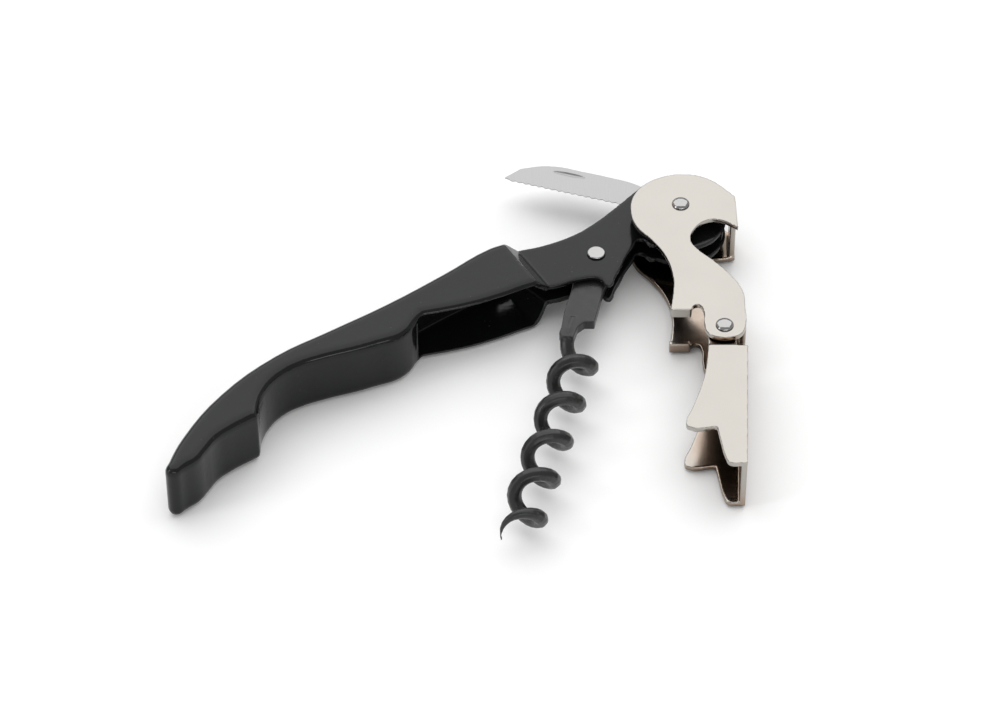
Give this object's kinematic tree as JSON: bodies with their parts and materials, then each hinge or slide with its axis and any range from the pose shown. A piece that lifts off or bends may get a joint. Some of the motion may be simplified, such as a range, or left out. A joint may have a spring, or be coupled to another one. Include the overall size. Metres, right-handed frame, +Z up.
{
  "type": "lever corkscrew",
  "caption": "Waiter's corkscrew lying on its side: pressed handle, folding worm, serrated foil cutter and a folded-sheet lever in two hinged stages with a cap lifter.",
  "frame": {"origin": "centre of the bounding box in plan, on the surface that the tool lies on", "axes": "+X towards the lever, +Y towards the knife, +Z up, at right angles to the tool's flat side and along every hinge axis"},
  "size_m": [0.0996, 0.0914, 0.012],
  "materials": {
    "handle_shell": "glossy black coating",
    "worm": "satin black coating",
    "lever_upper": "nickel plate",
    "lever_lower": "nickel plate",
    "knife_blade": "satin ground",
    "worm_pin": "bright",
    "lever_pin": "bright",
    "link_pin": "bright",
    "lever_bush_top": "bright",
    "lever_bush_bottom": "bright",
    "knife_washer_top": "bright",
    "knife_washer_bottom": "bright",
    "link_spacer": "bright"
  },
  "bodies": {
    "handle": {"handle_shell": "handle_shell", "lever_pin": "lever_pin", "worm_pin": "worm_pin"},
    "lever": {"lever_upper": "lever_upper", "lever_bush_top": "lever_bush_top", "lever_bush_bottom": "lever_bush_bottom", "link_pin": "link_pin", "link_spacer": "link_spacer"},
    "lower_lever": {"lever_lower": "lever_lower"},
    "worm": {"worm": "worm"},
    "knife": {"knife_blade": "knife_blade", "knife_washer_top": "knife_washer_top", "knife_washer_bottom": "knife_washer_bottom"}
  },
  "joints": [
    {"name": "lever_hinge", "type": "hinge", "parent": "handle", "child": "lever", "pos_m": [0.03919, 0.03019, 0.0058], "axis": [0, 0, 1], "range_deg": [-52, 60]},
    {"name": "link_hinge", "type": "hinge", "parent": "lever", "child": "lower_lever", "pos_m": [0.04589, -0.00081, 0.0058], "axis": [0, 0, 1], "range_deg": [0, 35]},
    {"name": "worm_hinge", "type": "hinge", "parent": "handle", "child": "worm", "pos_m": [0.02389, 0.02049, 0.0058], "axis": [0, 0, 1], "range_deg": [-37.5, 43.2]},
    {"name": "knife_hinge", "type": "hinge", "parent": "handle", "child": "knife", "pos_m": [0.03919, 0.03019, 0.0058], "axis": [0, 0, 1], "range_deg": [-42, 44]}
  ],
  "couplings": [
    {"joint": "worm_hinge", "follows": "lever_hinge", "ratio": 0.72}
  ]
}
